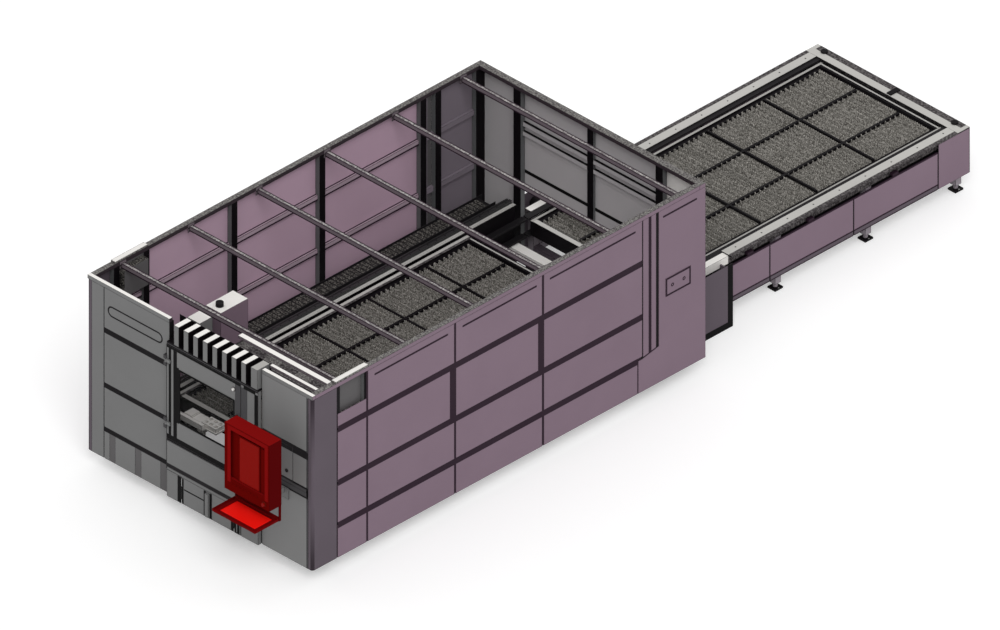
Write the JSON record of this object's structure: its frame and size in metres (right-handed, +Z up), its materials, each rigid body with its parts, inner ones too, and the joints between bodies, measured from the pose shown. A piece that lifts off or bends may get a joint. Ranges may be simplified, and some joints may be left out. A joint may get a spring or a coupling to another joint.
{
  "type": "laser cutting machine",
  "caption": "Gantry laser cutter for metal sheet: a steel enclosure with a windowed front door, a moving gantry and cutting head, a shuttle table behind, and a swivelling operator console.",
  "frame": {"origin": "middle of the bounding box at floor level", "axes": "+X to the machine's right seen from the operator's side, +Y from the operator's front to the exchange table at the rear, +Z up"},
  "size_m": [3.128, 10.305, 2.242],
  "materials": {
    "pale_paint": "satin light grey paint",
    "dark_paint": "satin near-black paint",
    "bare_steel": "bare mill finish",
    "machined_steel": "machined",
    "plum_paint": "satin plum grey paint",
    "wall_paint": "satin mauve grey paint",
    "front_paint": "satin grey paint",
    "red_paint": "satin red paint",
    "laser_glass": "tinted laser safety glass",
    "red_plastic": "gloss"
  },
  "bodies": {
    "machine": {"bed_side_beams": "pale_paint", "bed_cross_beams": "pale_paint", "bed_feet": "dark_paint", "gantry_guides": "bare_steel", "pallet_rails": "bare_steel", "slag_chutes": "plum_paint", "base_frame": "dark_paint", "wall_posts": "dark_paint", "wall_ribs": "wall_paint", "right_wall_sheets": "wall_paint", "left_wall_sheets": "wall_paint", "corner_covers": "plum_paint", "interface_plates": "plum_paint", "top_rails": "pale_paint", "roof_struts": "pale_paint", "front_frame": "dark_paint", "left_front_covers": "front_paint", "right_front_covers": "front_paint", "middle_front_covers": "front_paint", "vent_baffles": "front_paint", "rear_wall_sheets": "front_paint", "cable_tray": "dark_paint", "extraction_duct": "pale_paint", "table_frame": "plum_paint", "table_side_panels": "wall_paint", "table_top_strips": "pale_paint", "chain_drive": "dark_paint", "guard_plates": "plum_paint", "door_hinges": "dark_paint", "console_arm": "dark_paint", "nozzle_station": "pale_paint"},
    "gantry": {"gantry_beam": "plum_paint", "gantry_end_plates": "dark_paint", "gantry_motors": "dark_paint"},
    "right_pinion": {"right_pinion": "machined_steel"},
    "left_pinion": {"left_pinion": "machined_steel"},
    "carriage": {"carriage": "plum_paint", "carriage_cover": "wall_paint"},
    "carriage_pinion": {"carriage_pinion": "machined_steel"},
    "head": {"cutting_head": "machined_steel", "head_cover": "pale_paint"},
    "upper_pallet": {"upper_pallet_frame": "pale_paint", "upper_pallet_slats": "bare_steel"},
    "lower_pallet": {"lower_pallet_frame": "pale_paint", "lower_pallet_slats": "bare_steel"},
    "upper_front_axle": {"upper_front_axle": "machined_steel"},
    "upper_rear_axle": {"upper_rear_axle": "machined_steel"},
    "lower_front_axle": {"lower_front_axle": "machined_steel"},
    "lower_rear_axle": {"lower_rear_axle": "machined_steel"},
    "left_sprocket": {"left_sprocket": "machined_steel"},
    "right_sprocket": {"right_sprocket": "machined_steel"},
    "rear_door": {"rear_lift_door": "front_paint"},
    "front_door": {"front_door": "front_paint", "front_window": "laser_glass", "door_handle": "dark_paint"},
    "key_door": {"key_door": "front_paint"},
    "key_lock": {"key_lock": "machined_steel"},
    "slag_drawer": {"slag_drawer": "front_paint"},
    "console": {"console_housing": "red_paint"},
    "keyboard_tray": {"keyboard_tray": "red_paint"},
    "stop_button": {"stop_button": "red_plastic"}
  },
  "joints": [
    {"name": "gantry_travel", "type": "slide", "parent": "machine", "child": "gantry", "axis": [0, 1, 0], "range_m": [-0.2, 3.82]},
    {"name": "right_pinion_turn", "type": "hinge", "parent": "gantry", "child": "right_pinion", "pos_m": [1.0599, -3.4325, 0.912], "axis": [0, 0, 1], "range_deg": [-400, 7400]},
    {"name": "left_pinion_turn", "type": "hinge", "parent": "gantry", "child": "left_pinion", "pos_m": [-1.0599, -3.4325, 0.912], "axis": [0, 0, 1], "range_deg": [-7400, 400]},
    {"name": "carriage_travel", "type": "slide", "parent": "gantry", "child": "carriage", "axis": [1, 0, 0], "range_m": [0, 1.5]},
    {"name": "carriage_pinion_turn", "type": "hinge", "parent": "carriage", "child": "carriage_pinion", "pos_m": [-0.755, -3.4175, 1.1674], "axis": [0, 1, 0], "range_deg": [-10, 3450]},
    {"name": "head_lift", "type": "slide", "parent": "carriage", "child": "head", "axis": [0, 0, 1], "range_m": [-0.1, 0.1]},
    {"name": "upper_pallet_travel", "type": "slide", "parent": "machine", "child": "upper_pallet", "axis": [0, 1, 0], "range_m": [0, 4.87]},
    {"name": "lower_pallet_travel", "type": "slide", "parent": "machine", "child": "lower_pallet", "axis": [0, 1, 0], "range_m": [-4.87, 0]},
    {"name": "upper_front_axle_turn", "type": "hinge", "parent": "upper_pallet", "child": "upper_front_axle", "pos_m": [0, -3.5875, 0.75], "axis": [1, 0, 0], "range_deg": [-7000, 10]},
    {"name": "upper_rear_axle_turn", "type": "hinge", "parent": "upper_pallet", "child": "upper_rear_axle", "pos_m": [0, -0.2175, 0.75], "axis": [1, 0, 0], "range_deg": [-7000, 10]},
    {"name": "lower_front_axle_turn", "type": "hinge", "parent": "lower_pallet", "child": "lower_front_axle", "pos_m": [0, 1.2825, 0.55], "axis": [1, 0, 0], "range_deg": [-10, 7000]},
    {"name": "lower_rear_axle_turn", "type": "hinge", "parent": "lower_pallet", "child": "lower_rear_axle", "pos_m": [0, 4.6525, 0.55], "axis": [1, 0, 0], "range_deg": [-10, 7000]},
    {"name": "left_sprocket_turn", "type": "hinge", "parent": "machine", "child": "left_sprocket", "pos_m": [-0.911, 1.3125, 0.602], "axis": [1, 0, 0], "range_deg": [-4600, 10]},
    {"name": "right_sprocket_turn", "type": "hinge", "parent": "machine", "child": "right_sprocket", "pos_m": [0.911, 1.3125, 0.602], "axis": [1, 0, 0], "range_deg": [-4600, 10]},
    {"name": "rear_door_lift", "type": "slide", "parent": "machine", "child": "rear_door", "axis": [0, 0, 1], "range_m": [-0.34, 0]},
    {"name": "front_door_swing", "type": "hinge", "parent": "machine", "child": "front_door", "pos_m": [-0.42, -4.5235, 1.4], "axis": [0, 0, -1], "range_deg": [0, 110]},
    {"name": "key_door_swing", "type": "hinge", "parent": "machine", "child": "key_door", "pos_m": [0.856, -4.4755, 1.28], "axis": [0, 0, -1], "range_deg": [0, 45]},
    {"name": "key_lock_turn", "type": "hinge", "parent": "key_door", "child": "key_lock", "pos_m": [1.205, -4.4575, 1.2], "axis": [0, -1, 0], "range_deg": [0, 90]},
    {"name": "slag_drawer_pull", "type": "slide", "parent": "machine", "child": "slag_drawer", "axis": [0, -1, 0], "range_m": [0, 0.9]},
    {"name": "console_swivel", "type": "hinge", "parent": "machine", "child": "console", "pos_m": [1.15, -4.7355, 1], "axis": [0, 0, 1], "range_deg": [-40, 40]},
    {"name": "tray_fold", "type": "hinge", "parent": "console", "child": "keyboard_tray", "pos_m": [1.15, -4.8125, 0.895], "axis": [1, 0, 0], "range_deg": [0, 80]},
    {"name": "stop_button_press", "type": "slide", "parent": "console", "child": "stop_button", "axis": [0, 1, 0], "range_m": [0, 0.006], "stiffness_N_per_m": 2000}
  ],
  "couplings": [
    {"joint": "right_pinion_turn", "follows": "gantry_travel", "rad_per_m": 33.333},
    {"joint": "left_pinion_turn", "follows": "gantry_travel", "rad_per_m": -33.333},
    {"joint": "carriage_pinion_turn", "follows": "carriage_travel", "rad_per_m": 40},
    {"joint": "lower_pallet_travel", "follows": "upper_pallet_travel", "ratio": -1},
    {"joint": "upper_front_axle_turn", "follows": "upper_pallet_travel", "rad_per_m": -25},
    {"joint": "upper_rear_axle_turn", "follows": "upper_pallet_travel", "rad_per_m": -25},
    {"joint": "lower_front_axle_turn", "follows": "upper_pallet_travel", "rad_per_m": 25},
    {"joint": "lower_rear_axle_turn", "follows": "upper_pallet_travel", "rad_per_m": 25},
    {"joint": "left_sprocket_turn", "follows": "upper_pallet_travel", "rad_per_m": -16.39},
    {"joint": "right_sprocket_turn", "follows": "upper_pallet_travel", "rad_per_m": -16.39}
  ]
}
